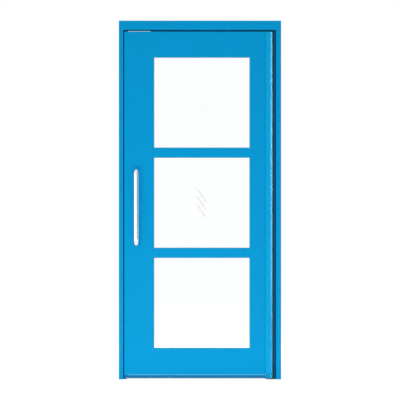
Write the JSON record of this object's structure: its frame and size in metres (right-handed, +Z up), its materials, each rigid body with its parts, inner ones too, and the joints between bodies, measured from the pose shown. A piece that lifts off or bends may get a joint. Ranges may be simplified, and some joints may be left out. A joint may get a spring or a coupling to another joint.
{
  "type": "commercial entrance door",
  "caption": "Glazed metal entrance door in its frame, with a half-round hinge edge on pivots, a tube pull handle, a foot brush and a magnetic lock in the head.",
  "frame": {"origin": "at floor level, at mid width of the frame, on the plane of its front face, which is flush with the closed leaf", "axes": "+Z up, +X towards the hinge jamb, +Y through the doorway to the inside, away from the pull handle"},
  "size_m": [1, 0.153, 2.21],
  "materials": {
    "blue_coat": "satin",
    "handle_steel": "polished",
    "fixing_steel": "satin",
    "pivot_steel": "satin",
    "plated_steel": "satin",
    "black_rubber": "matte",
    "bearing_bronze": "satin",
    "closer_metal": "satin",
    "magnet_resin": "satin",
    "block_plastic": "matte",
    "tray_plastic": "matte",
    "brush_fibre": "matte",
    "brush_holder": "satin",
    "clear_glass": "gloss"
  },
  "bodies": {
    "frame": {"lock_jamb": "blue_coat", "hinge_jamb": "blue_coat", "head": "blue_coat", "corner_brackets": "fixing_steel", "frame_screws": "fixing_steel", "head_screws": "fixing_steel", "lock_jamb_gasket": "black_rubber", "head_gasket": "black_rubber", "hinge_jamb_gasket": "black_rubber", "hinge_gap_seal": "black_rubber", "pivot_bracket": "pivot_steel", "pivot_pin": "fixing_steel", "closer_body": "closer_metal", "lock_magnet": "plated_steel", "cable_grommet": "black_rubber"},
    "leaf": {"lock_stile": "blue_coat", "hinge_stile": "blue_coat", "nose_profile": "blue_coat", "top_rail": "blue_coat", "upper_glazing_bar": "blue_coat", "lower_glazing_bar": "blue_coat", "bottom_rail": "blue_coat", "rail_spigots": "fixing_steel", "setting_blocks": "block_plastic", "pull_handle": "handle_steel", "handle_bolts": "handle_steel", "handle_sleeves": "fixing_steel", "armature_housing": "tray_plastic", "armature_guides": "fixing_steel", "top_pivot_arm": "pivot_steel", "bottom_pivot_shoe": "blue_coat", "pivot_arm_screws": "fixing_steel", "pivot_bush": "bearing_bronze", "closer_spindle": "fixing_steel", "brush_carrier": "brush_holder", "bottom_brush": "brush_fibre", "lower_glass": "clear_glass", "lower_outer_gasket": "black_rubber", "lower_inner_gasket": "black_rubber", "lower_bottom_bead": "blue_coat", "lower_top_bead": "blue_coat", "lower_lock_bead": "blue_coat", "lower_hinge_bead": "blue_coat", "middle_glass": "clear_glass", "middle_outer_gasket": "black_rubber", "middle_inner_gasket": "black_rubber", "middle_bottom_bead": "blue_coat", "middle_top_bead": "blue_coat", "middle_lock_bead": "blue_coat", "middle_hinge_bead": "blue_coat", "upper_glass": "clear_glass", "upper_outer_gasket": "black_rubber", "upper_inner_gasket": "black_rubber", "upper_bottom_bead": "blue_coat", "upper_top_bead": "blue_coat", "upper_lock_bead": "blue_coat", "upper_hinge_bead": "blue_coat"},
    "armature": {"armature_plate": "plated_steel"}
  },
  "joints": [
    {"name": "leaf_swing", "type": "hinge", "parent": "frame", "child": "leaf", "pos_m": [0.422, 0.025, 0.034], "axis": [0, 0, 1], "range_deg": [0, 95], "stiffness_Nm_per_rad": 6, "springref_deg": -143.24},
    {"name": "armature_lift", "type": "slide", "parent": "leaf", "child": "armature", "axis": [0, 0, 1], "range_m": [0, 0.0061]}
  ]
}
